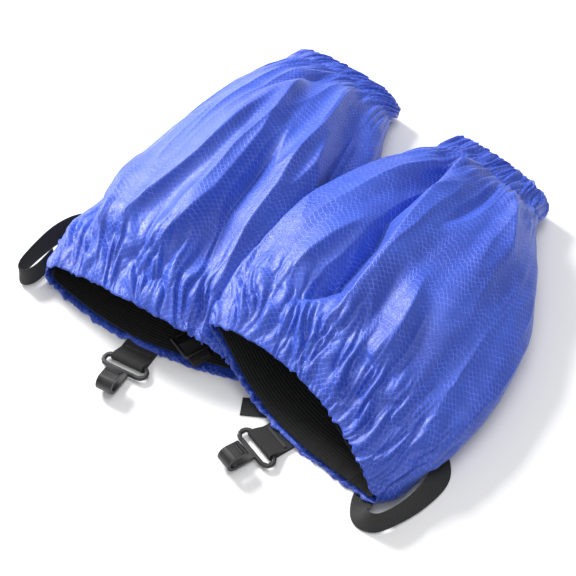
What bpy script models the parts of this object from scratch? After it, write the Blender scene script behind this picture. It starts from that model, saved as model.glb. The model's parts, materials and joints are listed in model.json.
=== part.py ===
"""A pair of slip-on gaiters, lying side by side with the right one leaning on the left one.

Each gaiter is a gathered fabric tube.  It holds a wide elastic band inside its bottom hem and a
narrow one inside its top casing.  A lace hook hangs on a webbing loop at the front, and an instep
strap and a tri-glide on a short tab close it under the boot.  The tubes lie along +Y, mouths
towards -Y, on the plane z = 0.
"""

import math

import bmesh
import bpy
from mathutils import Matrix, Vector

MM = 0.001
GAP = 0.3 * MM               # clearance between neighbouring pieces
LAYER_GAP = 0.7 * MM         # between nested fabric layers, whose faces are slightly twisted
RING_POINTS = 44             # points round a tube's section
FLOOR_CLEARANCE = 2.7 * MM   # webbing and strap lie flat under the mouths
CLEARANCE_FADE = (85 * MM, 140 * MM)
BOW_REACH = 120 * MM         # how far the mouth's curved edge shows up the tube

SHELL_WALL = 1.0 * MM
BOTTOM_ELASTIC_WIDTH = 40 * MM
BOTTOM_ELASTIC_WALL = 1.2 * MM
TOP_ELASTIC_WIDTH = 18 * MM
TOP_ELASTIC_WALL = 1.0 * MM
CASING_WIDTH = 24 * MM
CASING_WALL = 0.8 * MM
HEM_MARGIN = 4 * MM          # shell fabric that stands past the bottom elastic

STRAP_WIDTH = 15 * MM
STRAP_THICKNESS = 1.2 * MM
HOOK_WEBBING_WIDTH = 25 * MM
WEBBING_THICKNESS = 1.2 * MM
TACK_THICKNESS = 0.5 * MM
TACK_LENGTH = 2.2 * MM

# The middle of the pair's footprint in the layout below; it becomes the origin.
MIDDLE = Vector((11.4, 17.25, 0)) * MM

COLOURS = {
    "shell": ((0.03, 0.07, 0.55), 0.45),
    "elastic": ((0.012, 0.012, 0.013), 0.9),
    "webbing": ((0.018, 0.018, 0.02), 0.85),
    "plastic": ((0.035, 0.035, 0.038), 0.4),
    "thread": ((0.01, 0.01, 0.012), 0.8),
}


# ---------------------------------------------------------------- the two tubes
# A tube's stations run from the bottom lip to the top edge.  Each gives the section's left and
# right tips (x, y, z), the rise of the upper layer over the line between them and the drop of
# the lower layer under it, all in millimetres.

TUBES = {
    "left": [
        ((-139, -101, 11), (25, -88, 6), 30, 12),
        ((-144, -82, 12), (23, -70, 7), 32, 12),
        ((-149, -50, 16), (22, -42, 9), 38, 16),
        ((-152, 0, 19), (20, 6, 12), 41, 18),
        ((-153, 55, 20), (12, 60, 14), 40, 19),
        ((-148, 115, 19), (-4, 118, 15), 34, 18),
        ((-139, 152, 17), (-22, 152, 15), 26, 15),
        ((-132, 172, 15), (-33, 171, 14), 17, 16),
        ((-130, 188, 14), (-32, 186, 13), 13, 15),
    ],
    "right": [
        ((-3, -84, 35), (158, -117, 9), 20, 22),
        ((-8, -64, 38), (166, -96, 12), 22, 26),
        ((-14, -30, 42), (178, -60, 16), 24, 32),
        ((-17, 12, 44), (182, -10, 18), 26, 34),
        ((-12, 55, 43), (172, 48, 20), 26, 34),
        ((0, 102, 38), (148, 100, 20), 24, 30),
        ((14, 140, 30), (124, 136, 18), 20, 22),
        ((22, 160, 24), (112, 152, 15), 15, 22),
        ((23, 176, 22), (112, 168, 14), 13, 20),
    ],
}

# The right tube leans on the left one along a slanted surface: a straight slope that flattens
# out where it reaches the floor.
LEAN_SLOPE = 0.92
LEAN_FOOT = 39 * MM          # where the slope would meet the floor
LEAN_ROUNDING = 9 * MM
LEAN_GAP = 1.2 * MM
CREASE_ROUNDING = 9 * MM
SIDE_INSET = 1.4             # an inner layer's steep sides move in by this much more
WEDGE_INSET = 3.0            # and its tip in the sharp wedge under the slope by this much

# How far the lip's lower and upper edges bow along y between the tips, in millimetres.
MOUTH_BOWS = {"left": (-12, -7), "right": (-7, 14)}


def smooth_step(value, low, high):
    """Rise smoothly from 0 to 1 as value goes from low to high."""
    place = min(max((value - low) / (high - low), 0.0), 1.0)
    return place * place * (3 - 2 * place)


def soft_min(first, second, rounding):
    """The smaller of two heights, rounded off where they cross."""
    near = max(rounding - abs(first - second), 0.0) / rounding
    return min(first, second) - near * near * rounding / 4


def spaced(start, end, steps):
    """Evenly spaced values from start to end, both included."""
    return [start + (end - start) * step / steps for step in range(steps + 1)]


def smooth_between(values, position):
    """Catmull-Rom interpolation of a list of vectors, with position from 0 to 1 along it."""
    last = len(values) - 1
    place = min(max(position, 0.0), 1.0) * last
    low = min(int(place), last - 1)
    blend = place - low
    before = values[max(low - 1, 0)]
    start = values[low]
    end = values[low + 1]
    after = values[min(low + 2, last)]
    curve = 2 * start + (end - before) * blend
    curve += (2 * before - 5 * start + 4 * end - after) * blend ** 2
    curve += (3 * start - before - 3 * end + after) * blend ** 3
    return curve * 0.5


def lean_height(x):
    """The height of the surface that parts the two tubes."""
    return LEAN_SLOPE * LEAN_ROUNDING * math.log1p(math.exp((LEAN_FOOT - x) / LEAN_ROUNDING))


class Tube:
    """A gaiter's tube as a smooth surface, measured along its length and round its section."""

    def __init__(self, side):
        self.side = side
        stations = TUBES[side]
        self.bow_low, self.bow_high = [bow * MM for bow in MOUTH_BOWS[side]]
        self.left_tips = [Vector(station[0]) * MM for station in stations]
        self.right_tips = [Vector(station[1]) * MM for station in stations]
        self.rises = [Vector((station[2], station[3])) * MM for station in stations]
        middles = [(left + right) / 2 for left, right in zip(self.left_tips, self.right_tips)]
        self.reach = [0.0]
        for first, second in zip(middles, middles[1:]):
            self.reach.append(self.reach[-1] + (second - first).length)
        self.length = self.reach[-1]
        self.rows = self.row_distances()

    def row_distances(self):
        """Distances from the lip that the shell and every band inside it share."""
        elastic_end = HEM_MARGIN + BOTTOM_ELASTIC_WIDTH
        casing_start = self.length - CASING_WIDTH
        margin = (CASING_WIDTH - TOP_ELASTIC_WIDTH) / 2
        rows = [0.0]
        rows += spaced(HEM_MARGIN, elastic_end, 3)
        rows += spaced(elastic_end, casing_start, 10)[1:]
        rows += spaced(casing_start + margin, self.length - margin, 2)
        rows.append(self.length)
        return rows

    def position(self, distance):
        """The place, from 0 to 1 along the stations, of a distance from the lip."""
        last = len(self.reach) - 1
        for index in range(last):
            if distance <= self.reach[index + 1] or index == last - 1:
                span = self.reach[index + 1] - self.reach[index]
                return (index + (distance - self.reach[index]) / span) / last

    def section(self, distance, inset):
        """The closed ring of points at a distance from the lip, moved inwards by inset."""
        place = self.position(distance)
        right_inset = WEDGE_INSET if self.side == "left" else SIDE_INSET
        left = smooth_between(self.left_tips, place) + Vector((inset * SIDE_INSET, 0, 0))
        right = smooth_between(self.right_tips, place) - Vector((inset * right_inset, 0, 0))
        rise, drop = smooth_between(self.rises, place) - Vector((inset, inset))
        floor = FLOOR_CLEARANCE * (1 - smooth_step(distance, *CLEARANCE_FADE)) + inset
        bow_strength = max(0.0, 1 - distance / BOW_REACH) ** 2
        lean_gap = LEAN_GAP / 2 + inset * SIDE_INSET
        ring = []
        for index in range(RING_POINTS):
            angle = 2 * math.pi * index / RING_POINTS
            across = (1 + math.cos(angle)) / 2
            height = math.copysign(abs(math.sin(angle)) ** 0.9, math.sin(angle))
            point = left.lerp(right, across)
            point.z += height * (rise if height > 0 else drop)
            if self.side == "left":
                point.z = soft_min(point.z, lean_height(point.x) - lean_gap, CREASE_ROUNDING)
            else:
                point.z = -soft_min(-point.z, -lean_height(point.x) - lean_gap, CREASE_ROUNDING)
            point.z = -soft_min(-point.z, -floor, CREASE_ROUNDING / 3)
            bow = self.bow_low + (self.bow_high - self.bow_low) * (1 + height) / 2
            point.y += bow * bow_strength * math.sin(math.pi * across)
            ring.append(point)
        return ring


# ---------------------------------------------------------------- building blocks

def material_for(slot):
    material = bpy.data.materials.get(slot)
    if material:
        return material
    colour, roughness = COLOURS[slot]
    material = bpy.data.materials.new(slot)
    material.use_nodes = True
    shader = material.node_tree.nodes["Principled BSDF"]
    shader.inputs["Base Color"].default_value = (*colour, 1)
    shader.inputs["Roughness"].default_value = roughness
    return material


def add_object(name, slot, mesh_builder):
    """Turn a bmesh into a smooth-shaded object with its faces pointing out."""
    bmesh.ops.recalc_face_normals(mesh_builder, faces=mesh_builder.faces)
    mesh = bpy.data.meshes.new(name)
    mesh_builder.to_mesh(mesh)
    mesh_builder.free()
    mesh.materials.append(material_for(slot))
    mesh.shade_smooth()
    mesh.set_sharp_from_angle(angle=math.radians(35))
    piece = bpy.data.objects.new(name, mesh)
    bpy.context.scene.collection.objects.link(piece)
    return piece


def loft(name, slot, rings, closed_path):
    """Skin a list of rings; the path is either closed on itself or capped at both ends."""
    builder = bmesh.new()
    layers = [[builder.verts.new(point) for point in ring] for ring in rings]
    count = len(rings[0])
    pairs = list(zip(layers, layers[1:]))
    if closed_path:
        pairs.append((layers[-1], layers[0]))
    for lower, upper in pairs:
        for index in range(count):
            after = (index + 1) % count
            builder.faces.new((lower[index], lower[after], upper[after], upper[index]))
    if not closed_path:
        builder.faces.new(reversed(layers[0]))
        builder.faces.new(layers[-1])
    return add_object(name, slot, builder)


def band(name, slot, tube, start, end, depth, wall):
    """A thin-walled ring that follows the tube, open at both ends."""
    distances = [row for row in tube.rows if start - GAP < row < end + GAP]
    outer = [tube.section(distance, depth) for distance in distances]
    inner = [tube.section(distance, depth + wall) for distance in reversed(distances)]
    return loft(name, slot, outer + inner, closed_path=True)


def ribbon(name, slot, stations, width, thickness, steps):
    """A flat strap along a smooth curve.

    Each station is (x, y, z, lean) in millimetres and degrees.  At lean 0 the strap lies flat
    and at 90 it stands on its edge.  It never dips below z = 0.
    """
    values = [Vector(station) for station in stations]
    samples = [smooth_between(values, step / steps) for step in range(steps + 1)]
    centres = [sample.to_3d() * MM for sample in samples]
    rings = []
    for index, sample in enumerate(samples):
        ahead = centres[min(index + 1, steps)] - centres[max(index - 1, 0)]
        ahead.normalize()
        level = Vector((0, 0, 1)).cross(ahead).normalized()
        lean = math.radians(sample[3])
        across = level * math.cos(lean) + ahead.cross(level) * math.sin(lean)
        normal = ahead.cross(across).normalized()
        half_width = across * width / 2
        half_thickness = normal * thickness / 2
        centre = centres[index].copy()
        centre.z = max(centre.z, abs(half_width.z) + abs(half_thickness.z))
        rings.append([
            centre - half_width - half_thickness,
            centre + half_width - half_thickness,
            centre + half_width + half_thickness,
            centre - half_width + half_thickness,
        ])
    return loft(name, slot, rings, closed_path=False)


def extruded(name, slot, outline, width, place):
    """Extrude an outline in the local YZ plane by width, centred on x = 0, then place it."""
    rings = []
    for side in (-0.5, 0.5):
        rings.append([place @ Vector((side * width, y, z)) for y, z in outline])
    return loft(name, slot, rings, closed_path=False)


def arc(centre, radius, start, end, steps):
    """Points on an arc in a plane, from one angle to another in degrees."""
    points = []
    for step in range(steps + 1):
        angle = math.radians(start + (end - start) * step / steps)
        points.append((centre[0] + radius * math.cos(angle), centre[1] + radius * math.sin(angle)))
    return points


def stadium(length, width, steps):
    """A rounded slot outline, long in x, centred on the origin."""
    radius = width / 2
    reach = length / 2 - radius
    return arc((reach, 0), radius, -90, 90, steps) + arc((-reach, 0), radius, 90, 270, steps)


def set_origin(piece, point):
    """Put the object's origin on a world point without moving its mesh."""
    piece.data.transform(Matrix.Translation(-point))
    piece.location = point


# ---------------------------------------------------------------- a webbing loop round a bar

BAR_RADIUS = 1.9 * MM
LONGEST_LOOP = 9.5 * MM       # from the bar to where the two layers meet
LOOP_SHARE = 0.45             # the most of a short loop's length that stays open
CAVITY_SHARE = 0.8            # how far the open loop narrows to a slit
SLIT = 0.2 * MM


def webbing_loop(name, place, width, length, lift):
    """Webbing folded round a bar on the local x axis, its two layers meeting at y = length.

    The lower layer runs straight back at the loop's lowest level and the upper layer comes down
    to lie on it; lift raises the sewn end.
    """
    inner = BAR_RADIUS + GAP
    outer = inner + WEBBING_THICKNESS
    join = min(length * LOOP_SHARE, LONGEST_LOOP)
    wrap_end = 270 + math.degrees(math.atan2(lift, join))
    outside = arc((0, 0), outer, 90, wrap_end, 10)
    inside = arc((0, 0), inner, wrap_end, 90, 8)
    end_low = -outer + lift
    end_high = end_low + 2 * WEBBING_THICKNESS
    middle = (end_low + end_high) / 2
    outline = outside + [(join, end_low), (length, end_low), (length, end_high), (join, end_high)]
    slit_end = join * CAVITY_SHARE
    cavity = [(slit_end, middle - SLIT / 2), (slit_end, middle + SLIT / 2)]
    return extruded_with_hole(name, outline, inside + cavity[::-1], width, place)


def extruded_with_hole(name, outline, hole, width, place):
    """Extrude a ring-shaped outline: the outer loop with a hole through it."""
    builder = bmesh.new()
    loops = []
    for side in (-0.5, 0.5):
        for points in (outline, hole):
            loop = [builder.verts.new(place @ Vector((side * width, y, z))) for y, z in points]
            loops.append(loop)
    for first, second in ((loops[0], loops[2]), (loops[1], loops[3])):
        for index in range(len(first)):
            after = (index + 1) % len(first)
            builder.faces.new((first[index], first[after], second[after], second[index]))
    for outer_loop, inner_loop in ((loops[0], loops[1]), (loops[2], loops[3])):
        edges = []
        for loop in (outer_loop, inner_loop):
            for index, vertex in enumerate(loop):
                edges.append(builder.edges.get((vertex, loop[(index + 1) % len(loop)])))
        bmesh.ops.triangle_fill(builder, edges=edges, use_beauty=True)
    return add_object(name, "webbing", builder)


# ---------------------------------------------------------------- lace hook

HOOK_WIDTH = 37 * MM          # across the slotted plate
HOOK_SLOT_LENGTH = 31 * MM
HOOK_BAR_SPACING = 9.4 * MM   # from the webbing's bar to the neck's bar
HOOK_PLATE = 3.0 * MM
HOOK_BAR = 3.0 * MM           # height of each bar of the plate
JAW_WIDTH = 12 * MM
JAW_THICKNESS = 2.4 * MM
JAW_RADIUS = 5.2 * MM         # to the middle of the band
HOOK_LENGTH = 32 * MM         # from the webbing's bar to the far side of the curl
JAW_REACH = 9.5 * MM          # how far the jaw comes back over itself
TIP_NOSE = 1.2 * MM           # the jaw's blunt tip stands this far past its bevels
TIP_TOP_BEVEL = 0.9 * MM
TIP_UNDER_BEVEL = 1.2 * MM
TIP_DROP = 1.3 * MM
RIDGE_RADIUS = 1.3 * MM       # a raised thumb ridge across the jaw
RIDGE_SETBACK = 3.2 * MM
RIDGE_SINK = 1.0 * MM
FRAME_CHAMFER = 0.7 * MM


def boolean(target, tool, operation):
    """Apply an exact Boolean and remove the tool object."""
    modifier = target.modifiers.new("cut", "BOOLEAN")
    modifier.operation = operation
    modifier.object = tool
    bpy.context.view_layer.update()
    graph = bpy.context.evaluated_depsgraph_get()
    mesh = bpy.data.meshes.new_from_object(target.evaluated_get(graph))
    target.modifiers.clear()
    target.data = mesh
    bpy.data.objects.remove(tool)


def lace_hook(name, place):
    """One moulded piece: slotted plate, neck, and a jaw that curls up and back over itself."""
    identity = Matrix.Identity(4)
    plate_height = HOOK_BAR_SPACING + HOOK_BAR
    plate_middle = -HOOK_BAR_SPACING / 2
    outline = [(x, y + plate_middle) for x, y in stadium(HOOK_WIDTH, plate_height, 6)]
    slot = [(x, y + plate_middle) for x, y in
            stadium(HOOK_SLOT_LENGTH, HOOK_BAR_SPACING - HOOK_BAR, 3)]
    plate = flat_frame(name, outline, slot, HOOK_PLATE)

    curl = (-(HOOK_LENGTH - JAW_THICKNESS / 2 - JAW_RADIUS), JAW_RADIUS)
    half = JAW_THICKNESS / 2
    start = -HOOK_BAR_SPACING - BAR_RADIUS * 0.4
    reach = curl[0] + JAW_REACH
    top = 2 * JAW_RADIUS
    jaw_outline = [(start, half), (start, -half)]
    jaw_outline += arc(curl, JAW_RADIUS + half, 270, 90, 12)
    jaw_outline += [(reach, top + half - TIP_TOP_BEVEL), (reach + TIP_NOSE, top - TIP_DROP)]
    jaw_outline += [(reach, top - half - TIP_UNDER_BEVEL)]
    jaw_outline += arc(curl, JAW_RADIUS - half, 90, 270, 10)
    jaw = extruded("jaw", "plastic", jaw_outline, JAW_WIDTH, identity)
    boolean(plate, jaw, "UNION")

    ridge_middle = (reach - RIDGE_SETBACK, top + half - RIDGE_SINK)
    ridge_outline = arc(ridge_middle, RIDGE_RADIUS, 0, 180, 6)
    ridge = extruded("ridge", "plastic", ridge_outline, JAW_WIDTH * 0.9, identity)
    boolean(plate, ridge, "UNION")
    plate.data.transform(place)
    plate.data.materials.clear()
    plate.data.materials.append(material_for("plastic"))
    plate.data.shade_smooth()
    plate.data.set_sharp_from_angle(angle=math.radians(35))
    set_origin(plate, place.translation)
    return plate


def flat_frame(name, outline, hole, thickness):
    """A flat plate in the XY plane with a hole, its outer edges slightly rounded."""
    builder = bmesh.new()
    layers = []
    for points in (outline, hole):
        grow = -1 if points is outline else 1
        stack = []
        for level, shrink in ((-0.5, 1), (-0.5, 0), (0.5, 0), (0.5, 1)):
            height = level * thickness
            if shrink == 0:
                height -= math.copysign(FRAME_CHAMFER, height)
            stack.append([builder.verts.new((x, y, height)) for x, y in
                          offset_outline(points, grow * FRAME_CHAMFER * shrink)])
        layers.append(stack)
    for stack in layers:
        for lower, upper in zip(stack, stack[1:]):
            for index in range(len(lower)):
                after = (index + 1) % len(lower)
                builder.faces.new((lower[index], lower[after], upper[after], upper[index]))
    for level in (0, 3):
        edges = []
        for stack in layers:
            loop = stack[level]
            for index, vertex in enumerate(loop):
                edges.append(builder.edges.get((vertex, loop[(index + 1) % len(loop)])))
        bmesh.ops.triangle_fill(builder, edges=edges, use_beauty=True)
    return add_object(name, "plastic", builder)


def offset_outline(points, distance):
    """Move a counter-clockwise outline outwards by distance."""
    moved = []
    for index, (x, y) in enumerate(points):
        before = Vector(points[index - 1])
        after = Vector(points[(index + 1) % len(points)])
        along = (after - before).normalized()
        moved.append((x + along.y * distance, y - along.x * distance))
    return moved


# ---------------------------------------------------------------- tri-glide

GLIDE_LENGTH = 22 * MM        # along the webbing
GLIDE_WIDTH = 20.5 * MM
GLIDE_RAIL = 2.4 * MM
GLIDE_THICKNESS = 2.8 * MM
GLIDE_RISE = 0.9 * MM         # the frame stands above its centre bar, clear of the tab
GLIDE_CORNER = 2.2 * MM
WINDOW_CORNER = 1.0 * MM


def rounded_box(half_width, half_length, corner, steps):
    """A rectangle's outline with rounded corners, counter-clockwise, centred on the origin."""
    outline = []
    for x_sign, y_sign, start in ((1, -1, -90), (1, 1, 0), (-1, 1, 90), (-1, -1, 180)):
        centre = (x_sign * (half_width - corner), y_sign * (half_length - corner))
        outline += arc(centre, corner, start, start + 90, steps)
    return outline


def tri_glide(name, place):
    """A rounded frame whose centre bar, on the local x axis, sits in the tab's loop."""
    slot_width = GLIDE_WIDTH - 2 * GLIDE_RAIL
    slot_length = GLIDE_LENGTH / 2 - GLIDE_RAIL - BAR_RADIUS
    outline = rounded_box(GLIDE_WIDTH / 2, GLIDE_LENGTH / 2, GLIDE_CORNER, 3)
    window = rounded_box(slot_width / 2, BAR_RADIUS + slot_length, WINDOW_CORNER, 2)
    frame = flat_frame(name, outline, window, GLIDE_THICKNESS)
    frame.data.transform(Matrix.Translation((0, 0, GLIDE_RISE)))
    bar_outline = arc((0, 0), BAR_RADIUS * 0.9, 0, 315, 7)
    bar = extruded("bar", "plastic", bar_outline, slot_width + GLIDE_RAIL, Matrix.Identity(4))
    boolean(frame, bar, "UNION")
    frame.data.transform(place)
    frame.data.materials.clear()
    frame.data.materials.append(material_for("plastic"))
    frame.data.shade_smooth()
    frame.data.set_sharp_from_angle(angle=math.radians(35))
    set_origin(frame, place.translation)
    return frame


# ---------------------------------------------------------------- one gaiter

def turned(x, y, z, yaw):
    """A placement in millimetres and degrees."""
    place = Matrix.Translation(Vector((x, y, z)) * MM)
    return place @ Matrix.Rotation(math.radians(yaw), 4, "Z")


def tack(name, place, width, length):
    """A bar tack: a dense block of zigzag thread with tapered ends, standing on its z = 0 plane."""
    reach = length / 2
    outline = [(-reach, 0), (reach, 0), (reach * 0.7, TACK_THICKNESS), (-reach * 0.7, TACK_THICKNESS)]
    extruded(name, "thread", outline, width, place)


def webbing_tack(name, place, width, y, lift):
    """A tack across the two sewn layers of a webbing loop, on their upper face."""
    top = 2 * WEBBING_THICKNESS - BAR_RADIUS - GAP - WEBBING_THICKNESS + lift
    tack(name, place @ Matrix.Translation((0, y, top + GAP)), width * 0.8, TACK_LENGTH)


# Placements are (x, y, z, yaw) of the bar each fitting turns on, in millimetres and degrees.
# A strap's stations are (x, y, z, lean), from its sewn end to its free end.
FITTINGS = {
    "left": {
        "hook": (-46, -121, 3.4, 7),
        "hook_webbing": (27 * MM, 0),
        "hook_tack": 11.2 * MM,
        "glide": (-19, -87, 9.4, -109),
        "glide_tab": (17 * MM, 0),
        "strap": [
            (-146.5, -84, 12, 92), (-145.5, -100, 11, 96), (-148, -109, 10, 96),
            (-154, -112.5, 9.5, 92), (-158.5, -106, 9.5, 86), (-160.5, -86, 9, 78),
            (-160, -64, 8, 66), (-154, -44, 5, 38), (-142, -32, 1.9, 10),
            (-126, -30, 0.7, 0), (-100, -38, 0.6, 0), (-60, -52, 0.6, 0),
            (-20, -66, 0.6, 0),
        ],
        "strap_tack": ((-147.1, -90, 11.6), -90),
    },
    "right": {
        "hook": (70, -121, 3.4, -18),
        "hook_webbing": (21 * MM, 0),
        "hook_tack": 11.2 * MM,
        "glide": (35.2, -73, 3.5, -191),
        "glide_tab": (15 * MM, 6.1 * MM),
        "strap": [
            (143, -92, 0.6, 0), (146, -108, 0.6, 0), (150, -119.5, 1.6, 10),
            (157, -130, 6.3, 52), (168, -129, 8.2, 70), (176, -113, 8.2, 68),
            (180, -92, 6.8, 52), (177, -68, 2.8, 18), (158, -53, 0.7, 0),
            (130, -55, 0.6, 0), (100, -69, 0.6, 0), (70, -85, 0.6, 0), (38, -103, 0.6, 0),
        ],
        "strap_tack": ((144, -96, 1.5), 0),
    },
}


def build_gaiter(side):
    tube = Tube(side)
    fit = FITTINGS[side]
    shell_inner = SHELL_WALL + LAYER_GAP
    elastic_end = HEM_MARGIN + BOTTOM_ELASTIC_WIDTH
    casing_start = tube.length - CASING_WIDTH

    band(f"{side}_shell", "shell", tube, 0, tube.length, 0, SHELL_WALL)
    band(f"{side}_bottom_elastic", "elastic", tube, HEM_MARGIN, elastic_end,
         shell_inner, BOTTOM_ELASTIC_WALL)
    elastic_start = casing_start + (CASING_WIDTH - TOP_ELASTIC_WIDTH) / 2
    band(f"{side}_top_elastic", "elastic", tube, elastic_start,
         elastic_start + TOP_ELASTIC_WIDTH, shell_inner, TOP_ELASTIC_WALL)
    casing_depth = shell_inner + TOP_ELASTIC_WALL + LAYER_GAP
    band(f"{side}_top_casing", "shell", tube, casing_start, tube.length, casing_depth,
         CASING_WALL)

    hook_place = turned(*fit["hook"])
    lace_hook(f"{side}_lace_hook", hook_place)
    webbing_loop(f"{side}_hook_webbing", hook_place, HOOK_WEBBING_WIDTH, *fit["hook_webbing"])
    webbing_tack(f"{side}_hook_webbing_tack", hook_place, HOOK_WEBBING_WIDTH, fit["hook_tack"], 0)

    glide_place = turned(*fit["glide"])
    tri_glide(f"{side}_tri_glide", glide_place)
    tab_length, tab_lift = fit["glide_tab"]
    webbing_loop(f"{side}_glide_tab", glide_place, STRAP_WIDTH, tab_length, tab_lift)
    tack_distance = tab_length - TACK_LENGTH
    webbing_tack(f"{side}_glide_tab_tack", glide_place, STRAP_WIDTH, tack_distance, tab_lift)

    ribbon(f"{side}_instep_strap", "webbing", fit["strap"], STRAP_WIDTH, STRAP_THICKNESS, 60)
    tack_point, tack_turn = fit["strap_tack"]
    tack_place = Matrix.Translation(Vector(tack_point) * MM)
    tack_place @= Matrix.Rotation(math.radians(tack_turn), 4, "Y")
    tack(f"{side}_strap_tack", tack_place, STRAP_WIDTH * 0.7, TACK_LENGTH)


def main():
    for piece in list(bpy.data.objects):
        bpy.data.objects.remove(piece)
    for side in ("left", "right"):
        build_gaiter(side)
    for piece in bpy.data.objects:
        piece.location -= MIDDLE


main()
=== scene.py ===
"""The pair of gaiters as a finished product: cloth, elastic, webbing and moulded fittings.

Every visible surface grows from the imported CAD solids, so it stays where they are.
"""

import json
import math

import bmesh
import bpy
import numpy as np
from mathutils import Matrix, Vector, noise
from mathutils.bvhtree import BVHTree

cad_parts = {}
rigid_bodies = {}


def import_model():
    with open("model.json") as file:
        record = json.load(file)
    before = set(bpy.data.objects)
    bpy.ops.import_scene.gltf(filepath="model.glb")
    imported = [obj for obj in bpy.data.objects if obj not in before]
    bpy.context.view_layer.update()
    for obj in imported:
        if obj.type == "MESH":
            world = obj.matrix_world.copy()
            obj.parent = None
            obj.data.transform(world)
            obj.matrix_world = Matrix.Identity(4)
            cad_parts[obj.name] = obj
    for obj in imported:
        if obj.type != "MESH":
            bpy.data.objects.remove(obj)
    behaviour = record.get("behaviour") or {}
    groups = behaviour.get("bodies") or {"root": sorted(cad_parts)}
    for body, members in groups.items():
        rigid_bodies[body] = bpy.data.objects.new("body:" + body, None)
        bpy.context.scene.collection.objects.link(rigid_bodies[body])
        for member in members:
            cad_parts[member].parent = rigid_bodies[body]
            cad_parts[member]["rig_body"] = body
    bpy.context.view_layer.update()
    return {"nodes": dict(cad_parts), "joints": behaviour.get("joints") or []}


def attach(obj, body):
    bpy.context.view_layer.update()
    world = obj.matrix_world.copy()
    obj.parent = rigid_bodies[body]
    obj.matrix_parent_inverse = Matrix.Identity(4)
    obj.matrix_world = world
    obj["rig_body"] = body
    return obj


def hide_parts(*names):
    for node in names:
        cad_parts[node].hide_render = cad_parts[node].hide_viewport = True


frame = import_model()

MM = 0.001
SIDES = ("left", "right")

# The camera looks down on the mouths from the front left.
CAMERA_AZIMUTH = math.radians(37)
CAMERA_ELEVATION = math.radians(50)
CAMERA_DISTANCE = 1.37
CAMERA_AIM = Vector((-11.4, -17.25, 0)) * MM
CAMERA_LENS = 120

AROUND = 480                 # cloth columns round a tube
ALONG = 200                  # cloth rows from lip to top edge
FLAT_CIRCUMFERENCE = 0.47    # the ungathered fabric of one gaiter
HEM_DEPTH = 44 * MM          # from the lip to the hem's second stitch line
CASING_DEPTH = 24 * MM       # from the top edge to the casing's stitch line
CASING_ROWS = 30
TURN_ROWS = 5                # rows of cloth that turn over the top elastic
CASING_TURN = 1.2 * MM
RIPSTOP_PITCH = 3.4 * MM
RIPSTOP_SLANT = 1.6          # the pitch measured round the tube, over the pitch between threads
RIPSTOP_LINE = 0.34          # how much of the pitch a heavy thread takes, as a sine
ELASTIC_RIB = 2.4 * MM       # from rib to rib
RIB_HEIGHT = 0.7 * MM
BUCKLE_HEIGHT = 0.35 * MM
FLOOR_GAP = 0.3 * MM
OPEN_FADE = (2 * MM, 7 * MM)     # the distance over which ribs grow beside a fitting
WELD = 0.002 * MM
SHARP_ANGLE = math.radians(50)
STRAP_CAP_TRIANGLE = 9e-6    # half the area of a strap's cut end
STRAP_END_REACH = 20 * MM    # more than a strap's width, less than its length
END_FACING = 0.72            # a tube's end faces look at least this much along y
CAP_TOLERANCE = 0.02         # how far a cut end's triangles may be from that area, as a share
SIDE_FACING = 0.95           # a swept piece's side faces look at least this much along its axis
FLATNESS = 0.4               # height over width of the rays' directions round a tube
RAYS_AROUND = 240            # directions in which a tube's wall is looked for
AXIS_SECTIONS = 7            # sections that a tube's middle line is fitted to
SECTION_SHARE = 1 / 6        # half a section's depth, as a share of the tube's length
REACH_CHANGE = (0.7, 1.4)    # how much a wall's distance may change from one row to the next
SMOOTHING_PASSES = 4
CLOTH_CLEARANCE = 0.6 * MM   # the least room between the cloth and what it faces
CLEARANCE_SEARCH = 30 * MM
LIP_TURN = 6 * MM            # how deep the cloth turns in over the lip
STRAP_ROWS = 500
STRAP_COLUMNS = 20
STRAP_EASING = 30            # passes that round off a strap's corner lines
FOLDED_OUTLINE = 260         # points round a folded webbing's side
ELASTIC_ROWS = 130
ELASTIC_COLUMNS = 280
ELASTIC_CUT = 0.36           # the width of the elastic's weave pattern round the mouth


# ---------------------------------------------------------------- materials

class Paint:
    """A node material under construction."""

    def __init__(self, name):
        self.material = bpy.data.materials.new(name)
        self.material.use_nodes = True
        self.tree = self.material.node_tree
        self.shader = self.tree.nodes["Principled BSDF"]

    def connect(self, value, socket):
        """Link a socket to another one, or set it to a plain value."""
        if isinstance(value, bpy.types.NodeSocket):
            self.tree.links.new(value, socket)
        else:
            socket.default_value = value

    def node(self, kind, inputs=(), output=0, **properties):
        """Add a node and return one of its outputs."""
        node = self.tree.nodes.new("ShaderNode" + kind)
        for name, value in properties.items():
            setattr(node, name, value)
        for key, value in dict(inputs).items():
            self.connect(value, node.inputs[key])
        return node.outputs[output]

    def math(self, operation, first, second=0.0):
        return self.node("Math", {0: first, 1: second}, operation=operation)

    def noise(self, vector, scale, detail=3.0):
        inputs = {"Vector": vector, "Scale": scale, "Detail": detail}
        return self.node("TexNoise", inputs)

    def ramp(self, value, low, high, start=0.0, end=1.0):
        """Map value from low..high to start..end, smoothly and clamped."""
        inputs = {"Value": value, "From Min": low, "From Max": high, "To Min": start, "To Max": end}
        return self.node("MapRange", inputs, interpolation_type="SMOOTHSTEP")

    def mix(self, factor, first, second):
        """Blend two colours."""
        inputs = {0: factor, 6: first, 7: second}
        return self.node("Mix", inputs, output=2, data_type="RGBA")

    def bump(self, height, distance, strength=1.0, normal=None):
        inputs = {"Height": height, "Distance": distance, "Strength": strength}
        if normal is not None:
            inputs["Normal"] = normal
        return self.node("Bump", inputs)

    def finish(self, **sockets):
        """Set the Principled shader's sockets, named with underscores."""
        for name, value in sockets.items():
            self.connect(value, self.shader.inputs[name.replace("_", " ")])
        return self.material


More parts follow.
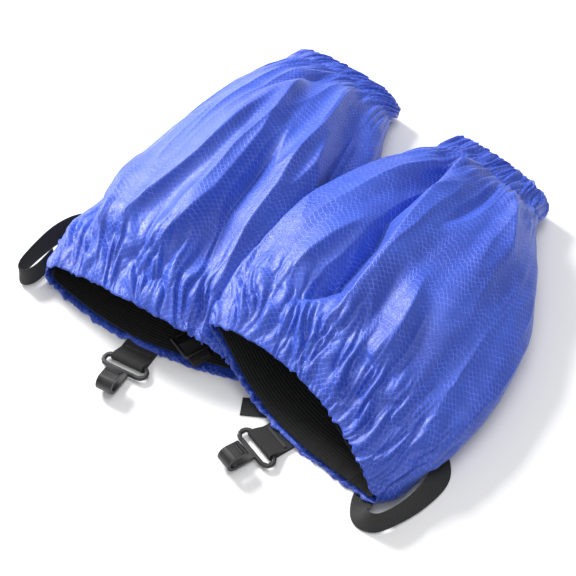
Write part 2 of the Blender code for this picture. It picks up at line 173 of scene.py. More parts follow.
def threads(paint, coordinate, pitch):
    """A row of rounded threads, 0 in the grooves and 1 on the crests."""
    turns = paint.math("MULTIPLY", coordinate, math.pi / pitch)
    return paint.math("ABSOLUTE", paint.math("SINE", turns))


def ripstop_material():
    """Royal-blue nylon with a diamond grid of heavier threads, whose glint is painted lighter into
    the colour.
    """
    paint = Paint("ripstop nylon")
    place = paint.node("UVMap", uv_map="cloth")
    wander = paint.noise(place, 90.0, 2.0)
    split = paint.node("SeparateXYZ", {0: place})
    across = split
    along = split.node.outputs[1]
    lean = paint.math("MULTIPLY", along, 1.25)
    first = paint.math("ADD", across, lean)
    second = paint.math("SUBTRACT", across, lean)
    lines = []
    for slant in (first, second):
        crest = threads(paint, slant, RIPSTOP_PITCH * RIPSTOP_SLANT)
        lines.append(paint.ramp(crest, 0.0, RIPSTOP_LINE, 1.0, 0.0))
    grid = paint.math("MAXIMUM", *lines)
    weave = paint.math(
        "MULTIPLY",
        threads(paint, across, 0.32 * MM),
        threads(paint, along, 0.32 * MM),
    )
    tone = paint.noise(place, 14.0, 3.0)
    cloth = paint.mix(
        paint.ramp(tone, 0.3, 0.7), (0.014, 0.048, 0.36, 1), (0.021, 0.070, 0.46, 1)
    )
    # Painted highlight: the heavier threads are painted a lighter blue as a glint, stronger or weaker
    # at random along the cloth.
    glint = paint.math("MULTIPLY", grid, paint.ramp(wander, 0.35, 0.65, 0.3, 1.0))
    colour = paint.mix(glint, cloth, (0.09, 0.16, 0.80, 1))
    crinkle = paint.noise(place, 260.0, 4.0)
    height = paint.bump(crinkle, 0.35 * MM, 0.6)
    height = paint.bump(weave, 0.04 * MM, 0.5, height)
    height = paint.bump(grid, 0.12 * MM, 0.7, height)
    return paint.finish(
        Base_Color=colour,
        Roughness=paint.ramp(crinkle, 0.3, 0.7, 0.36, 0.5),
        Specular_IOR_Level=0.55,
        Sheen_Weight=0.25,
        Sheen_Roughness=0.4,
        Sheen_Tint=(0.45, 0.6, 1.0, 1),
        Normal=height,
    )


def elastic_material():
    """Black knitted elastic with cross threads, with painted shade in the grooves between them; its
    ribs are in the mesh.
    """
    paint = Paint("ribbed elastic")
    place = paint.node("UVMap", uv_map="cloth")
    split = paint.node("SeparateXYZ", {0: place})
    cross = threads(paint, split, 0.7 * MM)
    rows = threads(paint, split.node.outputs[1], 0.8 * MM)
    knit = paint.math("MULTIPLY", cross, rows)
    fuzz = paint.noise(place, 900.0, 3.0)
    # Painted shade: the knit's grooves are painted darker than its crests.
    colour = paint.mix(knit, (0.003, 0.003, 0.0033, 1), (0.024, 0.024, 0.025, 1))
    height = paint.bump(knit, 0.15 * MM, 0.8)
    height = paint.bump(fuzz, 0.1 * MM, 0.4, height)
    return paint.finish(
        Base_Color=colour,
        Roughness=0.85,
        Specular_IOR_Level=0.3,
        Normal=height,
    )


def webbing_material(name, ribs_along_v):
    """Black polypropylene webbing, ribbed across its width, with painted shade in the grooves of its
    weave.
    """
    paint = Paint(name)
    place = paint.node("UVMap", uv_map="cloth")
    split = paint.node("SeparateXYZ", {0: place})
    across = split.node.outputs[0 if ribs_along_v else 1]
    along = split.node.outputs[1 if ribs_along_v else 0]
    ribs = threads(paint, along, 0.95 * MM)
    strands = threads(paint, paint.math("ADD", across, paint.math("MULTIPLY", along, 0.6)), 1.1 * MM)
    weave = paint.math("MULTIPLY", ribs, paint.ramp(strands, 0.0, 0.5, 0.45, 1.0))
    fuzz = paint.noise(place, 1200.0, 3.0)
    # Painted shade: the weave's grooves are painted darker than its crests.
    colour = paint.mix(weave, (0.002, 0.002, 0.0023, 1), (0.03, 0.03, 0.031, 1))
    height = paint.bump(weave, 0.3 * MM, 1.0)
    height = paint.bump(fuzz, 0.08 * MM, 0.4, height)
    return paint.finish(
        Base_Color=colour,
        Roughness=0.62,
        Specular_IOR_Level=0.4,
        Normal=height,
    )


def plastic_material():
    """Dark grey moulded acetal, satin, with softened edges."""
    paint = Paint("moulded plastic")
    place = paint.node("TexCoord", output=3)
    grain = paint.noise(place, 2600.0, 2.0)
    cloudy = paint.noise(place, 120.0, 2.0)
    colour = paint.mix(cloudy, (0.007, 0.007, 0.008, 1), (0.013, 0.013, 0.0145, 1))
    edges = paint.node("Bevel", {"Radius": 0.5 * MM}, samples=8)
    return paint.finish(
        Base_Color=colour,
        Roughness=paint.ramp(cloudy, 0.3, 0.7, 0.3, 0.42),
        Specular_IOR_Level=0.6,
        Normal=paint.bump(grain, 0.03 * MM, 0.4, edges),
    )


def thread_material():
    """Black sewing thread in a bar tack."""
    paint = Paint("tack thread")
    place = paint.node("TexCoord", output=3)
    fuzz = paint.noise(place, 1500.0, 3.0)
    colour = paint.mix(fuzz, (0.004, 0.004, 0.005, 1), (0.02, 0.02, 0.022, 1))
    height = paint.bump(fuzz, 0.25 * MM, 1.0)
    return paint.finish(Base_Color=colour, Roughness=0.7, Sheen_Weight=0.2, Normal=height)


def floor_material():
    """A seamless pale studio surface."""
    paint = Paint("studio_floor")
    return paint.finish(Base_Color=(0.86, 0.86, 0.87, 1), Roughness=0.9)


MATERIALS = {
    "ripstop": ripstop_material(),
    "elastic": elastic_material(),
    "webbing": webbing_material("strap webbing", True),
    "folded": webbing_material("folded webbing", False),
    "plastic": plastic_material(),
    "thread": thread_material(),
    "floor": floor_material(),
}


# ---------------------------------------------------------------- surfaces from the CAD

class Wall:
    """The outer or inner face of a CAD tube, found by rays in planes across y."""

    def __init__(self, node, outer):
        mesh = frame["nodes"][node].data
        self.tree = tree_of(node)
        self.outer = outer
        self.points = np.array([vertex.co for vertex in mesh.vertices])
        facing = [face for face in mesh.polygons if abs(face.normal.y) > END_FACING]
        self.rims = self.points[[index for face in facing for index in face.vertices]]
        self.fit_axis()

    def fit_axis(self):
        """A smooth line through the middles of the tube's whole sections."""
        lip, top = self.rims[:, 1].min(), self.rims[:, 1].max()
        mouth = self.rims[self.rims[:, 1] < (lip + top) / 2, 1].max()
        neck = self.rims[self.rims[:, 1] > (lip + top) / 2, 1].min()
        levels = np.linspace(mouth, neck, AXIS_SECTIONS)
        middles = []
        for level in levels:
            near = self.points[np.abs(self.points[:, 1] - level) < (top - lip) * SECTION_SHARE]
            middles.append((near.min(0) + near.max(0)) / 2)
        middles = np.array(middles)
        self.x_axis = np.polyfit(levels, middles[:, 0], 1)
        self.z_axis = np.polyfit(levels, middles[:, 2], 1)

    def centre(self, y):
        return Vector((np.polyval(self.x_axis, y), y, np.polyval(self.z_axis, y)))

    def edge(self, angles, top):
        """The y of the lip or the top edge at each angle round the tube."""
        half_way = self.rims[:, 1].mean()
        ends = self.rims[(self.rims[:, 1] > half_way) == top]
        centres = np.array([self.centre(point[1]) for point in ends])
        at = np.arctan2((ends[:, 2] - centres[:, 2]) / FLATNESS, ends[:, 0] - centres[:, 0])
        order = np.argsort(at)
        return np.interp(angles, at[order], ends[order, 1], period=2 * math.pi)

    def hit(self, angle, y, expected):
        """The wall's point in a direction round the tube, or None where there is no wall."""
        ray = Vector((math.cos(angle), 0, math.sin(angle) * FLATNESS)).normalized()
        centre = self.centre(y)
        if self.outer:
            found = self.tree.ray_cast(centre + ray, -ray)[0]
        else:
            found = self.tree.ray_cast(centre, ray)[0]
        if found is None:
            return None
        reach = (found - centre).dot(ray)
        if expected and not REACH_CHANGE[0] < reach / expected < REACH_CHANGE[1]:
            return None
        return reach

    def grid(self, rows, around):
        """Points of shape (rows, around, 3) from the lip to the top, evenly spaced round it."""
        angles = np.linspace(-math.pi, math.pi, RAYS_AROUND, endpoint=False)
        lips = self.edge(angles, False)
        tops = self.edge(angles, True)
        shares = np.linspace(0, 1, rows)
        middle_out = sorted(range(rows), key=lambda row: abs(row - rows // 2))
        reaches = np.zeros((rows, len(angles)))
        for row in middle_out:
            inner_row = row + (1 if row < rows // 2 else -1)
            for index, angle in enumerate(angles):
                y = lips[index] + (tops[index] - lips[index]) * shares[row]
                last = reaches[inner_row, index] if row != rows // 2 else 0
                reaches[row, index] = self.hit(angle, y, last) or last
        rings = []
        for row in range(rows):
            ring = []
            for index, angle in enumerate(angles):
                y = lips[index] + (tops[index] - lips[index]) * shares[row]
                ray = Vector((math.cos(angle), 0, math.sin(angle) * FLATNESS)).normalized()
                ring.append(self.centre(y) + ray * reaches[row, index])
            rings.append(evenly_round(np.array(ring), around))
        return smoothed(np.array(rings), SMOOTHING_PASSES)


def placed(name, data):
    """A new object in the scene."""
    piece = bpy.data.objects.new(name, data)
    bpy.context.scene.collection.objects.link(piece)
    return piece


def tree_of(*nodes):
    """The surface of some CAD nodes, for finding the nearest point."""
    points = []
    faces = []
    for node in nodes:
        mesh = frame["nodes"][node].data
        first = len(points)
        points += [vertex.co for vertex in mesh.vertices]
        faces += [tuple(first + index for index in face.vertices) for face in mesh.polygons]
    return BVHTree.FromPolygons(points, faces)


def evenly_round(ring, count):
    """Resample a closed ring so that its points are the same distance apart."""
    closed = np.vstack([ring, ring[:1]])
    steps = np.linalg.norm(np.diff(closed, axis=0), axis=1)
    reach = np.concatenate([[0], np.cumsum(steps)])
    at = np.linspace(0, reach[-1], count, endpoint=False)
    return np.stack([np.interp(at, reach, closed[:, axis]) for axis in range(3)], axis=1)


def smoothed(grid, passes):
    """Even out the CAD's facets, keeping the first and last rows' outline."""
    for _ in range(passes):
        grid = (np.roll(grid, 1, 1) + 2 * grid + np.roll(grid, -1, 1)) / 4
        inner = (grid[:-2] + 2 * grid[1:-1] + grid[2:]) / 4
        grid = np.concatenate([grid[:1], inner, grid[-1:]])
    return grid


def normals_of(grid):
    """Outward unit normals of a tube grid."""
    around = np.roll(grid, -1, 1) - np.roll(grid, 1, 1)
    along = np.gradient(grid, axis=0)
    normal = np.cross(along, around)
    normal /= np.linalg.norm(normal, axis=2, keepdims=True) + 1e-12
    centre = grid.mean(axis=1, keepdims=True)
    facing = ((grid - centre) * normal).sum(axis=(1, 2))
    return normal * np.sign(facing.mean())


def lengths_along(grid):
    """How far each grid point is from its column's first row."""
    steps = np.linalg.norm(np.diff(grid, axis=0), axis=2)
    return np.concatenate([np.zeros((1, grid.shape[1])), np.cumsum(steps, axis=0)])


def tube_mesh(name, grid, material, width):
    """A mesh from a tube grid, with its 'cloth' UV map in metres."""
    rows, around = grid.shape[:2]
    reach = lengths_along(grid)
    faces = []
    places = []
    for row in range(rows - 1):
        for column in range(around):
            after = (column + 1) % around
            corners = ((row, column, 0), (row, after, 1), (row + 1, after, 1), (row + 1, column, 0))
            faces.append([r * around + c for r, c, _ in corners])
            for r, c, step in corners:
                places.append(((column + step) / around * width, reach[r, c]))
    mesh = bpy.data.meshes.new(name)
    mesh.from_pydata(grid.reshape(-1, 3).tolist(), [], faces)
    layer = mesh.uv_layers.new(name="cloth")
    layer.data.foreach_set("uv", np.array(places, np.float32).ravel())
    mesh.materials.append(material)
    mesh.shade_smooth()
    return placed(name, mesh)


# ---------------------------------------------------------------- the cloth

WANDER = 0.16                # how far, in radians, the gathers' creases stray sideways
WANDER_RATE = 26.0           # and how often along the tube
BODY_WANDER = 0.035
DRIFT_RADIUS = 4             # how finely the straying varies round the tube
SEED_STEPS = (17.3, 5.1, 9.7)
WAVE_GAIN = 1.6              # brings the noise to about -1 to 1


def wave(seed, across, along, stretch, wander):
    """Smooth noise, about -1 to 1, over a tube: across is in turns, along in metres."""
    angle = across * 2 * math.pi
    drift = Vector((math.cos(angle), math.sin(angle), 0)) * DRIFT_RADIUS
    drift.z = along * WANDER_RATE + seed
    angle += noise.noise(drift) * wander
    place = Vector((math.cos(angle) * stretch[0], math.sin(angle) * stretch[0], along * stretch[1]))
    return noise.noise(place + Vector([seed * step for step in SEED_STEPS])) * WAVE_GAIN


def field(seed, grid_shape, reach, stretch, wander=WANDER):
    """wave() over a whole grid."""
    rows, around = grid_shape
    values = np.empty((rows, around))
    for row in range(rows):
        for column in range(around):
            values[row, column] = wave(seed, column / around, reach[row, column], stretch, wander)
    return values


def step_between(values, low, high):
    place = np.clip((values - low) / (high - low), 0, 1)
    return place * place * (3 - 2 * place)


def puffs(values, roundness=0.75):
    """Turn smooth noise into rounded puffs parted by sharp creases, from 0 to about 1."""
    return np.abs(values) ** roundness


# The big folds of the upper layer.  Each is a line of (across, along) points, as shares of the
# tube's width and length from the left side and the lip, then the fold's height, and how wide
# its slopes are on the left and on the right, in millimetres.  Most points of the longer folds
# were measured and rounded, so they are data and not a design.
FOLDS = {
    "left": [
        (((0.26, 0.10), (0.27, 0.21), (0.34, 0.43), (0.37, 0.66)), 5.0, 20, 5),
        (((0.46, 0.11), (0.50, 0.36), (0.49, 0.58), (0.41, 0.85)), 6.0, 22, 6),
        (((0.79, 0.20), (0.73, 0.31), (0.68, 0.55), (0.67, 0.90)), 5.5, 9, 13),
        (((0.70, 0.12), (0.59, 0.35), (0.58, 0.55)), -6.0, 12, 9),
        (((0.88, 0.30), (0.81, 0.43), (0.74, 0.70)), 4.5, 7, 8),
        (((0.92, 0.35), (0.86, 0.60), (0.84, 0.80)), -7.0, 8, 12),
        (((0.24, 0.08), (0.12, 0.22), (0.05, 0.38)), 4.0, 5, 14),
        (((0.17, 0.08), (0.08, 0.18), (0.02, 0.30)), -4.0, 8, 7),
        (((0.30, 0.74), (0.52, 0.93)), -4.0, 9, 7),
    ],
    "right": [
        (((0.27, 0.16), (0.35, 0.27), (0.345, 0.46), (0.30, 0.57), (0.31, 0.74), (0.25, 0.95)),
         -9.0, 11, 5),
        (((0.43, 0.11), (0.42, 0.22), (0.39, 0.50), (0.36, 0.74), (0.33, 0.92)), 6.5, 6, 26),
        (((0.66, 0.11), (0.61, 0.33), (0.58, 0.42)), 4.5, 16, 6),
        (((0.72, 0.12), (0.66, 0.36)), -3.0, 5, 12),
        (((0.18, 0.22), (0.21, 0.36), (0.24, 0.48)), 3.5, 14, 5),
        (((0.50, 0.62), (0.62, 0.90)), -4.0, 10, 9),
        (((0.80, 0.70), (0.70, 0.94)), 3.5, 9, 6),
        (((0.55, 0.14), (0.50, 0.40)), -3.5, 12, 12),
    ],
}
FOLD_STRENGTH = 1.7          # multiplies every fold's height
FOLD_FADE = 0.09             # the share of the length over which a fold's ends fade
FOLD_SHARPNESS = 1.25        # 1 is a sharp ridge, 2 a round one

# The gathers' heights.
BODY_SWELL = 3.0 * MM        # the slow swelling of the loose body
BODY_CREASE = 3.4 * MM       # the creases between its puffs
BODY_CREASE_MIDDLE = 0.6
SPREAD = 3.4 * MM            # the folds that run out of a hem into the body
SPREAD_MIDDLE = 0.15
SPREAD_IN_HEM = 0.4          # how much of them is left on the hem itself
PUFF_FLOOR = 1.6 * MM        # a gathered puff's height at a stitch line
HEM_BULGE = 4.6 * MM         # what is added in the middle of the bottom hem
TOP_BULGE = 2.0 * MM         # and in the middle of the top one
HEM_BULGE_REACH = 0.8
HEM_STITCH = (1.3 * MM, 3.0 * MM)    # a stitch line's depth and half its width
TOP_STITCH = (1.2 * MM, 1.6 * MM)
BAND_MARGIN = 3 * MM         # how far past an elastic the cloth still lies on it
SUNK_MOST = 0.2 * MM         # how far the cloth over an elastic may sink


def big_folds(side, grid):
    """The heights of the named folds, which lie on the upper layer."""
    along = np.linspace(0, 1, grid.shape[0])
    low = grid[:, :, 0].min(axis=1)
    width = grid[:, :, 0].max(axis=1) - low
    across = (grid[:, :, 0] - low[:, None]) / width[:, None]
    heights = np.zeros(grid.shape[:2])
    for line, height, left_width, right_width in FOLDS[side]:
        places = np.array(line)
        middle = np.interp(along, places[:, 1], places[:, 0])
        apart = (across - middle[:, None]) * width[:, None] / MM
        slope = np.where(apart < 0, left_width, right_width)
        profile = np.exp(-(np.abs(apart) / slope) ** FOLD_SHARPNESS)
        start = step_between(along, places[0, 1] - FOLD_FADE, places[0, 1] + FOLD_FADE)
        end = 1 - step_between(along, places[-1, 1] - FOLD_FADE, places[-1, 1] + FOLD_FADE)
        heights += height * FOLD_STRENGTH * MM * profile * (start * end)[:, None]
    return heights


def stitch_groove(apart, groove):
    """How deep a row of stitches draws the cloth in, at a distance along the tube from it."""
    depth, half_width = groove
    return depth * np.exp(-(apart / half_width) ** 2)


def fold_heights(side, grid, normals, reach):
    """How far the gathered fabric stands off the tube, in metres."""
    shape = grid.shape[:2]
    seed = SIDES.index(side) * 31 + 3
    from_top = reach[-1] - reach
    upper = step_between(normals[:, :, 2], -0.1, 0.35)
    body = step_between(reach, HEM_DEPTH * 0.7, HEM_DEPTH * 1.5)
    body *= step_between(from_top, CASING_DEPTH * 0.8, CASING_DEPTH * 1.8)
    near_hem = 1 - step_between(reach, HEM_DEPTH * 0.95, HEM_DEPTH * 1.9)
    near_top = 1 - step_between(from_top, CASING_DEPTH, CASING_DEPTH * 2.8)
    large = field(seed, shape, reach, (1.6, 5.0), BODY_WANDER)
    medium = field(seed + 1, shape, reach, (3.6, 8.0), BODY_WANDER)
    spread = field(seed + 2, shape, reach, (7.5, 12.0), BODY_WANDER)
    hem_puffs = puffs(field(seed + 3, shape, reach, (9.0, 30.0)))
    hem_pleats = puffs(field(seed + 5, shape, reach, (14.0, 22.0)))
    top_puffs = puffs(field(seed + 4, shape, reach, (8.0, 30.0)))
    heights = big_folds(side, grid) * body * upper
    heights += body * (large * BODY_SWELL + (1 - puffs(medium) - BODY_CREASE_MIDDLE) * BODY_CREASE)
    spread_share = SPREAD_IN_HEM + (1 - SPREAD_IN_HEM) * body
    heights += (near_hem + near_top) * (puffs(spread) - SPREAD_MIDDLE) * SPREAD * spread_share
    hem_bulge = np.sin(np.clip(reach / HEM_DEPTH * HEM_BULGE_REACH, 0, 1) * math.pi)
    heights += near_hem * (hem_puffs * (PUFF_FLOOR + HEM_BULGE * hem_bulge) + hem_pleats * PUFF_FLOOR)
    top_bulge = np.sin(np.clip(from_top / CASING_DEPTH, 0, 1) * math.pi)
    heights += near_top * top_puffs * (PUFF_FLOOR + TOP_BULGE * top_bulge)
    heights -= stitch_groove(reach - HEM_DEPTH, HEM_STITCH) * hem_pleats
    heights -= stitch_groove(from_top - CASING_DEPTH, TOP_STITCH)
    on_hem = reach < HEM_DEPTH + BAND_MARGIN
    on_casing = from_top < CASING_DEPTH + BAND_MARGIN
    return np.where(on_hem | on_casing, np.maximum(heights, -SUNK_MOST), heights)


def keep_clear(points, normals, heights, tree):
    """Limit heights so that the cloth stays clear of the other gaiter and the floor."""
    flat_points = points.reshape(-1, 3)
    flat_heights = heights.reshape(-1)
    for index, point in enumerate(flat_points):
        near = tree.find_nearest(Vector(point), CLEARANCE_SEARCH)
        if near[0] is not None:
            room = max(near[3] - CLOTH_CLEARANCE, 0.0) / 2
            flat_heights[index] = min(flat_heights[index], room)
    moved = flat_points + normals.reshape(-1, 3) * flat_heights[:, None]
    moved[:, 2] = np.maximum(moved[:, 2], FLOOR_GAP)
    return moved.reshape(points.shape)


SCALLOP = 1.8 * MM
LIP_FADE = 9 * MM
EDGE_FADE = 6 * MM


def lip_waves(side, grid, reach):
    """The scalloped edge: how far the gathered lip and top edge stray along the tube."""
    seed = SIDES.index(side) * 31 + 9
    towards = np.gradient(grid, axis=0)
    towards /= np.linalg.norm(towards, axis=2, keepdims=True)
    waves = field(seed, grid.shape[:2], reach * 0, (11.0, 1.0))
    near_lip = np.exp(-reach / LIP_FADE)
    near_edge = np.exp((reach - reach[-1]) / EDGE_FADE)
    return towards * (waves * (near_edge - near_lip) * SCALLOP)[:, :, None]


# The turned-in rows: how far in, as a share of the turn, and how far under the outer cloth.
LIP_TURN_ROWS = ((1.0, 0.9 * MM), (0.5, 0.9 * MM), (0.0, 0.6 * MM))


def hem_fold(cloth, normals):
    """Rows that turn the fabric in over the lip and back up behind the elastic."""
    inward = np.gradient(cloth, axis=0)[0]
    inward /= np.linalg.norm(inward, axis=1, keepdims=True)
    first = cloth[0]
    turned = []
    for share, sunk in LIP_TURN_ROWS:
        turned.append(first + inward * LIP_TURN * share - normals[0] * sunk)
    return np.concatenate([np.array(turned), cloth])


def build_casing(side, shell_edge):
    """The top hem's inner layer, gathered, turned over the elastic to meet the shell's edge."""
    node = f"{side}_top_casing"
    grid = Wall(node, outer=False).grid(CASING_ROWS, AROUND)
    normals = normals_of(grid)
    reach = lengths_along(grid)
    gathers = puffs(field(SIDES.index(side) + 61, grid.shape[:2], reach, (8.0, 30.0)))
    cloth = grid - normals * (gathers * PUFF_FLOOR)[:, :, None]
    apart = [np.linalg.norm(np.roll(shell_edge, turn, 0) - cloth[-1], axis=1).sum()
             for turn in range(AROUND)]
    shell_edge = np.roll(shell_edge, int(np.argmin(apart)), 0)
    onward = grid[-1] - grid[-2]
    onward /= np.linalg.norm(onward, axis=1, keepdims=True)
    turned = []
    for step in range(1, TURN_ROWS + 1):
        share = step / TURN_ROWS
        rise = math.sin(share * math.pi) * CASING_TURN
        turned.append(cloth[-1] * (1 - share) + shell_edge * share + onward * rise)
    cloth = np.concatenate([cloth, np.array(turned)])
    cloth[:, :, 2] = np.maximum(cloth[:, :, 2], FLOOR_GAP)
    casing = tube_mesh(f"{side}_casing_cloth", cloth, MATERIALS["ripstop"], FLAT_CIRCUMFERENCE)
    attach(casing, "gaiters")
    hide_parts(node)


# What lies against the outside of the tubes.
OUTSIDE_PARTS = ("hook_webbing", "instep_strap", "strap_tack")


def build_shell(side):
    """The gathered ripstop tube."""
    node = f"{side}_shell"
    other = "right" if side == "left" else "left"
    outside = [f"{any_side}_{part}" for any_side in SIDES for part in OUTSIDE_PARTS]
    neighbour = tree_of(f"{other}_shell", *outside)
    grid = Wall(node, outer=True).grid(ALONG, AROUND)
    normals = normals_of(grid)
    reach = lengths_along(grid)
    heights = fold_heights(side, grid, normals, reach)
    cloth = keep_clear(grid, normals, heights, neighbour)
    cloth += lip_waves(side, grid, reach)
    build_casing(side, cloth[-1])
    cloth = hem_fold(cloth, normals)
    cloth[:, :, 2] = np.maximum(cloth[:, :, 2], FLOOR_GAP)
    shell = tube_mesh(f"{side}_shell_cloth", cloth, MATERIALS["ripstop"], FLAT_CIRCUMFERENCE)
    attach(shell, "gaiters")
    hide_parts(node)


def open_share(grid, node):
    """0 close to a CAD node and 1 away from it, for every grid point."""
    tree = tree_of(node)
    apart = [tree.find_nearest(Vector(point))[3] for point in grid.reshape(-1, 3)]
    return step_between(np.array(apart), *OPEN_FADE).reshape(grid.shape[:2])


def build_elastic(side):
    """The ribbed band just inside the mouth."""
    node = f"{side}_bottom_elastic"
    grid = Wall(node, outer=False).grid(ELASTIC_ROWS, ELASTIC_COLUMNS)
    normals = normals_of(grid)
    reach = lengths_along(grid)
    ribs = np.abs(np.sin(reach / ELASTIC_RIB * math.pi))
    buckle = field(8, grid.shape[:2], reach, (16.0, 8.0))
    rise = (ribs * RIB_HEIGHT + buckle * BUCKLE_HEIGHT) * open_share(grid, f"{side}_tri_glide")
    cloth = grid - normals * rise[:, :, None]
    elastic = tube_mesh(f"{side}_ribbed_elastic", cloth, MATERIALS["elastic"], ELASTIC_CUT)
    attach(elastic, "gaiters")
    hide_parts(node)


# ---------------------------------------------------------------- webbing

def welded(node):
    """A CAD node as a bmesh whose faces share their corners."""
    builder = bmesh.new()
    builder.from_mesh(frame["nodes"][node].data)
    bmesh.ops.remove_doubles(builder, verts=builder.verts, dist=WELD)
    builder.normal_update()
    return builder


def by_place(vertex):
    """Sorts vertices by where they are, so that every run picks the same one."""
    return vertex.co.y, vertex.co.x, vertex.co.z


def is_sharp(edge):
    return edge.calc_face_angle(0.0) > SHARP_ANGLE


def corner_lines(builder):
    """A strap's four long corner lines, each running from the same end of the strap."""
    cap = set()
    for face in builder.faces:
        sharp = sum(is_sharp(edge) for edge in face.edges)
        if sharp >= 2 and abs(face.calc_area() / STRAP_CAP_TRIANGLE - 1) < CAP_TOLERANCE:
            cap.update(face.verts)
    first = min(cap, key=by_place)
    near_first = [vertex for vertex in cap if (vertex.co - first.co).length < STRAP_END_REACH]
    start = sorted(near_first, key=by_place)
    lines = []
    for corner in start:
        line = [corner]
        heading = Vector((0, 0, 0))
        while line[-1] not in cap or len(line) == 1:
            near = [edge.other_vert(line[-1]) for edge in line[-1].link_edges if is_sharp(edge)]
            ahead = [vertex for vertex in near if vertex not in line and vertex not in start]
            if not ahead:
                break
            here = line[-1].co
            line.append(max(ahead, key=lambda vertex: (vertex.co - here).normalized().dot(heading)))
            heading = (line[-1].co - here).normalized()
        lines.append(np.array([vertex.co for vertex in line]))
    return lines


def resampled(line, count):
    """Points at equal distances along an open line."""
    steps = np.linalg.norm(np.diff(line, axis=0), axis=1)
    reach = np.concatenate([[0], np.cumsum(steps)])
    at = np.linspace(0, reach[-1], count)
    return np.stack([np.interp(at, reach, line[:, axis]) for axis in range(3)], axis=1)


def eased(line, passes):
    """A line with its kinks rounded off and its ends kept."""
    for _ in range(passes):
        line = np.concatenate([line[:1], (line[:-2] + 2 * line[1:-1] + line[2:]) / 4, line[-1:]])
    return line


SELVEDGE_WIDTH_POWER = 0.35  # 0 makes a strap's section a sharp box, 1 an ellipse
SELVEDGE_DEPTH_POWER = 0.5


def rounded_box(value, power):
    """A sine or cosine pushed out towards -1 or 1."""
    return math.copysign(abs(value) ** power, value)


def strap_mesh(node, rows, columns):
    """A dense strap with rounded selvedges, on the CAD strap's corner lines."""
    builder = welded(node)
    corners = [eased(resampled(line, rows), STRAP_EASING) for line in corner_lines(builder)]
    builder.free()
    first = corners[0]
    others = sorted(corners[1:], key=lambda line: np.linalg.norm(line[0] - first[0]))
    thick_mate, wide_mate, far_mate = others
    lower = (first + thick_mate) / 2
    upper = (wide_mate + far_mate) / 2
    across = upper - lower
    half_thick = ((thick_mate - first) + (far_mate - wide_mate)) / 4
    reach = np.concatenate([[0], np.cumsum(np.linalg.norm(np.diff(lower, axis=0), axis=1))])
    width = np.linalg.norm(across[0])
    ring = []
    for step in range(columns):
        angle = 2 * math.pi * step / columns
        place = (1 - rounded_box(math.cos(angle), SELVEDGE_WIDTH_POWER)) / 2
        depth = rounded_box(math.sin(angle), SELVEDGE_DEPTH_POWER)
        ring.append((place, depth))
    points = [lower + across * place + half_thick * depth for place, depth in ring]
    grid = np.stack(points, axis=1)
    places = [place * width for place, depth in ring]
    return grid, places, reach


def face_outwards(mesh):
    """Turn a closed mesh's faces round if they look into it."""
    builder = bmesh.new()
    builder.from_mesh(mesh)
    if builder.calc_volume(signed=True) < 0:
        bmesh.ops.reverse_faces(builder, faces=builder.faces[:])
    builder.to_mesh(mesh)
    builder.free()


def webbing_piece(name, grid, places, reach, material):
    """A closed strip of webbing from a grid of rows, with its ends capped."""
    rows, columns = grid.shape[:2]
    mesh = bpy.data.meshes.new(name)
    faces = []
    spots = []
    for row in range(rows - 1):
        for column in range(columns):
            after = (column + 1) % columns
            corners = ((row, column), (row, after), (row + 1, after), (row + 1, column))
            faces.append([r * columns + c for r, c in corners])
            spots += [(places[c], reach[r]) for r, c in corners]
    for row, order in ((0, range(columns - 1, -1, -1)), (rows - 1, range(columns))):
        faces.append([row * columns + column for column in order])
        spots += [(places[column], reach[row]) for column in order]
    mesh.from_pydata(grid.reshape(-1, 3).tolist(), [], faces)
    layer = mesh.uv_layers.new(name="cloth")
    layer.data.foreach_set("uv", np.array(spots, np.float32).ravel())
    face_outwards(mesh)
    mesh.materials.append(material)
    mesh.shade_smooth()
    mesh.set_sharp_from_angle(angle=SHARP_ANGLE)
    return placed(name, mesh)


def build_strap(side):
    """The instep strap, a narrow band of ribbed webbing."""
    node = f"{side}_instep_strap"
    grid, places, reach = strap_mesh(node, STRAP_ROWS, STRAP_COLUMNS)
    strap = webbing_piece(f"{side}_strap_webbing", grid, places, reach, MATERIALS["webbing"])
    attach(strap, "gaiters")
    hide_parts(node)


def side_outline(builder, axis):
    """The outline of an extruded piece's side that faces along axis, in order."""
    facing = {face for face in builder.faces if face.normal.dot(axis) > SIDE_FACING}
    rim = {}
    for face in facing:
        for edge in face.edges:
            if sum(other in facing for other in edge.link_faces) == 1:
                for vertex in edge.verts:
                    rim.setdefault(vertex, set()).add(edge.other_vert(vertex))
    start = min(rim, key=by_place)
    ring = [start]
    while True:
        ahead = [vertex for vertex in rim[ring[-1]] if vertex not in ring]
        if not ahead:
            return np.array([vertex.co for vertex in ring])
        ring.append(min(ahead, key=lambda vertex: (vertex.co.z, by_place(vertex))))


def joint_axis(name):
    found = [joint for joint in frame["joints"] if joint["name"] == name]
    return Vector(found[0]["axis"]).normalized()


# Where a folded webbing has rows across its width: closer together at both selvedges.
SELVEDGE_SHARES = (0, 0.02, 0.06)
SWEEP_SHARES = (
    *SELVEDGE_SHARES,
    *(0.1 + 0.8 * step / 10 for step in range(11)),
    *(1 - share for share in reversed(SELVEDGE_SHARES)),
)


def build_folded_webbing(side, part, joint):
    """Webbing folded round a bar: the same outline swept across its width."""
    node = f"{side}_{part}"
    axis = joint_axis(f"{side}_{joint}")
    builder = welded(node)
    outline = evenly_round(side_outline(builder, -axis), FOLDED_OUTLINE)
    spans = np.array([vertex.co for vertex in builder.verts]) @ np.array(axis)
    builder.free()
    width = spans.max() - spans.min()
    lengths = np.linalg.norm(outline - np.roll(outline, 1, 0), axis=1)
    grid = np.array([outline + np.array(axis) * width * share for share in SWEEP_SHARES])
    reach = [share * width for share in SWEEP_SHARES]
    places = np.cumsum(lengths)
    name = f"{side}_{part}_cloth"
    piece = webbing_piece(name, grid, places, reach, MATERIALS["folded"])
    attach(piece, frame["nodes"][node]["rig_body"])
    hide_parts(node)


# ---------------------------------------------------------------- parts shown as they are

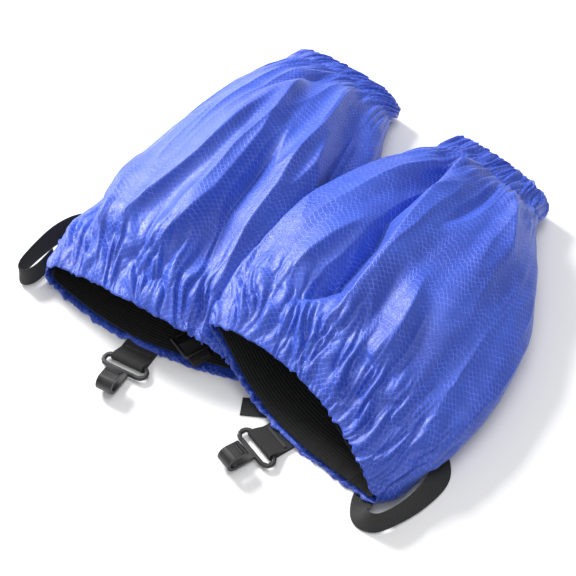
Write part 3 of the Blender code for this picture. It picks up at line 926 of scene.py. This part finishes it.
FINISHES = {
    "top_elastic": ("elastic", "elastic"),
    "hook_webbing_tack": ("thread", "thread"),
    "lace_hook": ("plastic", "moulded_plastic"),
    "strap_tack": ("thread", "thread"),
    "glide_tab_tack": ("thread", "thread"),
    "tri_glide": ("plastic", "moulded_plastic"),
}


def paint_part(side, part):
    """Give a CAD node its material."""
    piece = frame["nodes"][f"{side}_{part}"]
    material, slot = FINISHES[part]
    piece.data.materials.clear()
    piece.data.materials.append(MATERIALS[material])


# ---------------------------------------------------------------- studio

# Each light's name, place, size in metres and power in watts.
LIGHTS = (
    ("key", (-1.2, 0.25, 0.85), 0.4, 36),
    ("fill", (0.6, -1.1, 1.3), 1.2, 5),
    ("top", (0.1, 0.2, 1.8), 1.2, 11),
)
LIGHT_AIM = Vector((0, 0, 0))
WORLD_STRENGTH = 0.5
FLOOR_REACH = 4.0


def area_light(name, place, size, power):
    """A soft square light that looks at the gaiters."""
    light = bpy.data.lights.new(name, "AREA")
    light.size = size
    light.energy = power
    lamp = placed(name, light)
    lamp.location = place
    lamp.rotation_euler = (LIGHT_AIM - Vector(place)).to_track_quat("-Z", "Y").to_euler()


def build_studio():
    """A pale floor, three soft lights and the camera."""
    mesh = bpy.data.meshes.new("studio_floor")
    corners = [(x * FLOOR_REACH, y * FLOOR_REACH, 0) for x, y in ((-1, -1), (1, -1), (1, 1), (-1, 1))]
    mesh.from_pydata(corners, [], [(0, 1, 2, 3)])
    mesh.materials.append(MATERIALS["floor"])
    floor = placed("studio_floor", mesh)
    for light in LIGHTS:
        area_light(*light)
    world = bpy.data.worlds.new("studio")
    bpy.context.scene.world = world
    world.use_nodes = True
    background = world.node_tree.nodes["Background"]
    background.inputs["Color"].default_value = (1, 1, 1, 1)
    background.inputs["Strength"].default_value = WORLD_STRENGTH
    towards = Vector((
        math.sin(CAMERA_AZIMUTH) * math.cos(CAMERA_ELEVATION),
        -math.cos(CAMERA_AZIMUTH) * math.cos(CAMERA_ELEVATION),
        math.sin(CAMERA_ELEVATION),
    ))
    lens = bpy.data.cameras.new("camera")
    lens.lens = CAMERA_LENS
    camera = placed("camera", lens)
    camera.location = CAMERA_AIM + towards * CAMERA_DISTANCE
    camera.rotation_euler = (-towards).to_track_quat("-Z", "Y").to_euler()
    bpy.context.scene.camera = camera


bpy.context.scene.view_settings.view_transform = "Standard"
build_studio()
for side in SIDES:
    for part in FINISHES:
        paint_part(side, part)
    build_shell(side)
    build_elastic(side)
    build_strap(side)
    build_folded_webbing(side, "hook_webbing", "hook_swing")
    build_folded_webbing(side, "glide_tab", "glide_tilt")
